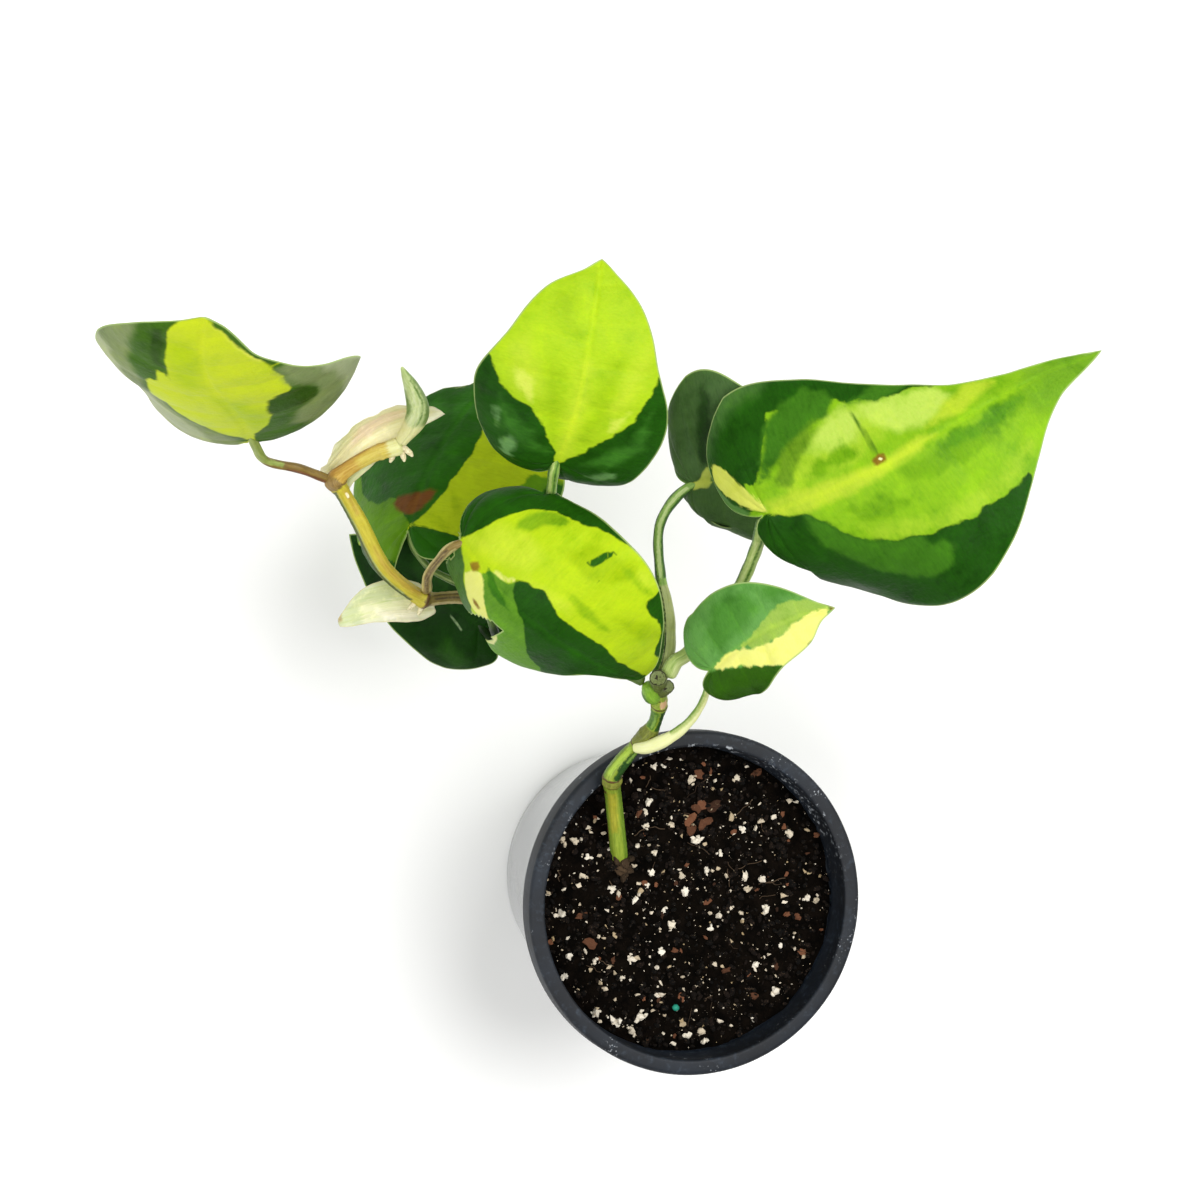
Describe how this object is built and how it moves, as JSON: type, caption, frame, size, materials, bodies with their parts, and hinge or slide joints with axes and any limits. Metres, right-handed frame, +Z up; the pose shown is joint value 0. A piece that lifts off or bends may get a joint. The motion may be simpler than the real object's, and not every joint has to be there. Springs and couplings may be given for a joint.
{
  "type": "potted brasil philodendron",
  "caption": "Trailing aroid house plant in a round tapered nursery pot: a leaning stem with a side shoot and heart-shaped green and lime leaves.",
  "frame": {"origin": "middle of the pot's base, on the surface it stands on", "axes": "+Z up; +Y the way the stem leans out of the pot; +X towards the largest leaf, -X towards the side shoot's tip"},
  "size_m": [0.2689, 0.2289, 0.1768],
  "materials": {
    "pot_plastic": "satin black",
    "soil": "crumbly dark potting mix",
    "stem": "smooth, slightly glossy",
    "shoot": "smooth, slightly glossy",
    "new_leaf": "smooth, waxy",
    "bract": "thin, papery, translucent",
    "leaf_lime": "glossy leaf",
    "leaf_green": "glossy leaf",
    "leaf_dark": "glossy leaf",
    "stalk_brown": "smooth",
    "stalk_green": "smooth"
  },
  "bodies": {
    "root": {"pot": "pot_plastic", "soil": "soil", "main_stem": "stem", "side_shoot": "shoot", "new_leaf": "new_leaf", "bract_large": "bract", "bract_small": "bract", "leaf_far": "leaf_lime", "stalk_far": "stalk_brown", "leaf_middle": "leaf_lime", "stalk_middle": "stalk_brown", "leaf_top": "leaf_lime", "stalk_top": "stalk_green", "leaf_large": "leaf_green", "stalk_large": "stalk_green", "leaf_dark": "leaf_dark", "stalk_dark": "stalk_green", "leaf_small": "leaf_green", "stalk_small": "stalk_green", "leaf_back": "leaf_dark", "stalk_back": "stalk_green", "leaf_low": "leaf_dark", "stalk_low": "stalk_green"}
  },
  "joints": []
}
